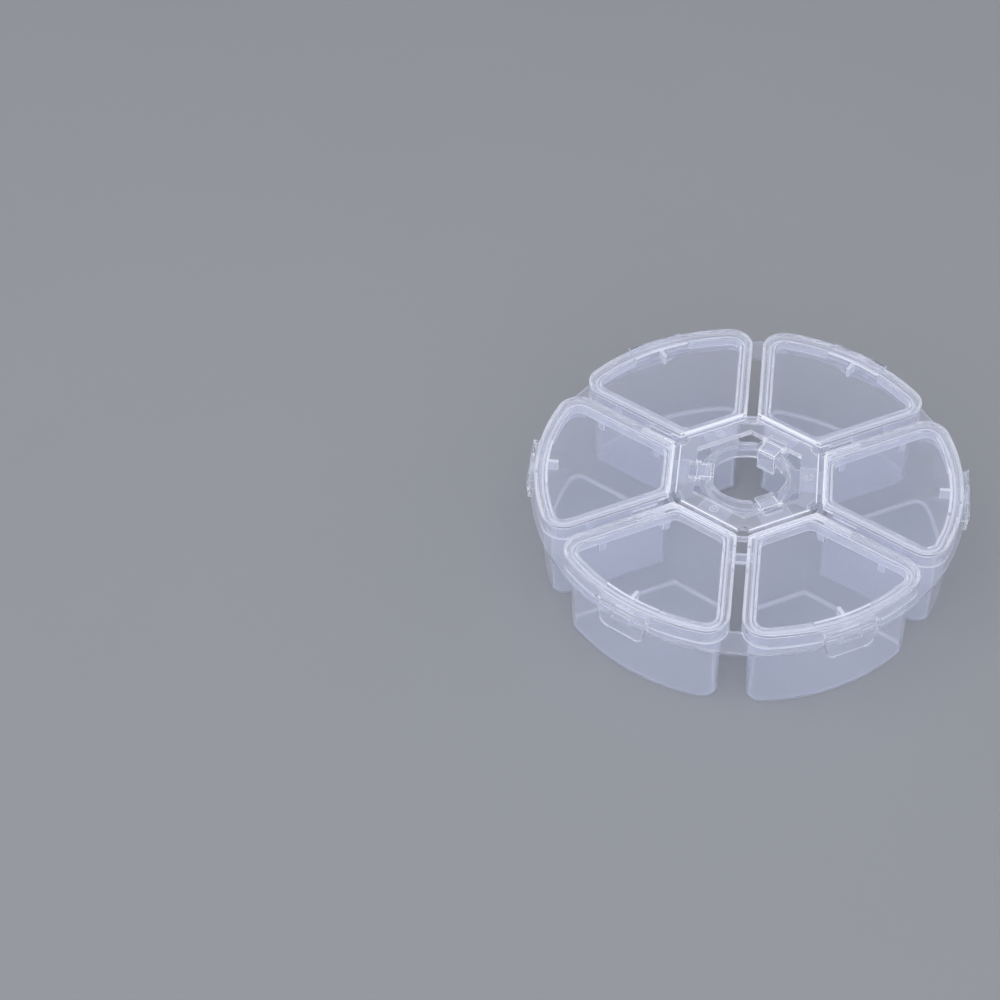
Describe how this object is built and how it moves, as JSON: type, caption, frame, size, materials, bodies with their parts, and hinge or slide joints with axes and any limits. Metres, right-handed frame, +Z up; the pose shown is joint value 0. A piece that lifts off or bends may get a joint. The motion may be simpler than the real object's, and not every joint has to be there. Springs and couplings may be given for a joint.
{
  "type": "compartment organizer box",
  "caption": "Round translucent organizer box: wedge-shaped cups in a ring, each under its own flip lid on a living hinge round a snap-in hub.",
  "frame": {"origin": "on the floor under the middle of the box", "axes": "+Z up; lid 1 lies toward +X and the others follow counter-clockwise every 60 degrees"},
  "size_m": [0.1062, 0.105, 0.0274],
  "materials": {
    "tray_plastic": "milky satin",
    "lid_plastic": "milky satin",
    "hinge_plastic": "milky satin"
  },
  "bodies": {
    "tray": {"cup_1": "tray_plastic", "cup_2": "tray_plastic", "cup_3": "tray_plastic", "cup_4": "tray_plastic", "cup_5": "tray_plastic", "cup_6": "tray_plastic", "rim_flange": "tray_plastic", "cross_rib_1": "tray_plastic", "cross_rib_2": "tray_plastic", "cross_rib_3": "tray_plastic", "cross_rib_4": "tray_plastic", "cross_rib_5": "tray_plastic", "cross_rib_6": "tray_plastic", "hub_plate": "tray_plastic", "hub_tube": "tray_plastic", "lid_hub": "lid_plastic", "snap_clip_1": "lid_plastic", "snap_clip_2": "lid_plastic", "snap_clip_3": "lid_plastic", "hinge_web_1": "hinge_plastic", "hinge_web_2": "hinge_plastic", "hinge_web_3": "hinge_plastic", "hinge_web_4": "hinge_plastic", "hinge_web_5": "hinge_plastic", "hinge_web_6": "hinge_plastic"},
    "flap_1": {"lid_1": "lid_plastic", "latch_tab_1": "lid_plastic"},
    "flap_2": {"lid_2": "lid_plastic", "latch_tab_2": "lid_plastic"},
    "flap_3": {"lid_3": "lid_plastic", "latch_tab_3": "lid_plastic"},
    "flap_4": {"lid_4": "lid_plastic", "latch_tab_4": "lid_plastic"},
    "flap_5": {"lid_5": "lid_plastic", "latch_tab_5": "lid_plastic"},
    "flap_6": {"lid_6": "lid_plastic", "latch_tab_6": "lid_plastic"}
  },
  "joints": [
    {"name": "lid_1_hinge", "type": "hinge", "parent": "tray", "child": "flap_1", "pos_m": [0.01755, 0, 0.02655], "axis": [0, -1, 0], "range_deg": [0, 95], "deforming": ["hinge_web_1"]},
    {"name": "lid_2_hinge", "type": "hinge", "parent": "tray", "child": "flap_2", "pos_m": [0.00877, 0.0152, 0.02655], "axis": [-0.866, 0.5, 0], "range_deg": [-95, 0], "deforming": ["hinge_web_2"]},
    {"name": "lid_3_hinge", "type": "hinge", "parent": "tray", "child": "flap_3", "pos_m": [-0.00877, 0.0152, 0.02655], "axis": [0.866, 0.5, 0], "range_deg": [0, 95], "deforming": ["hinge_web_3"]},
    {"name": "lid_4_hinge", "type": "hinge", "parent": "tray", "child": "flap_4", "pos_m": [-0.01755, 0, 0.02655], "axis": [0, -1, 0], "range_deg": [-95, 0], "deforming": ["hinge_web_4"]},
    {"name": "lid_5_hinge", "type": "hinge", "parent": "tray", "child": "flap_5", "pos_m": [-0.00877, -0.0152, 0.02655], "axis": [-0.866, 0.5, 0], "range_deg": [0, 95], "deforming": ["hinge_web_5"]},
    {"name": "lid_6_hinge", "type": "hinge", "parent": "tray", "child": "flap_6", "pos_m": [0.00877, -0.0152, 0.02655], "axis": [0.866, 0.5, 0], "range_deg": [-95, 0], "deforming": ["hinge_web_6"]}
  ]
}
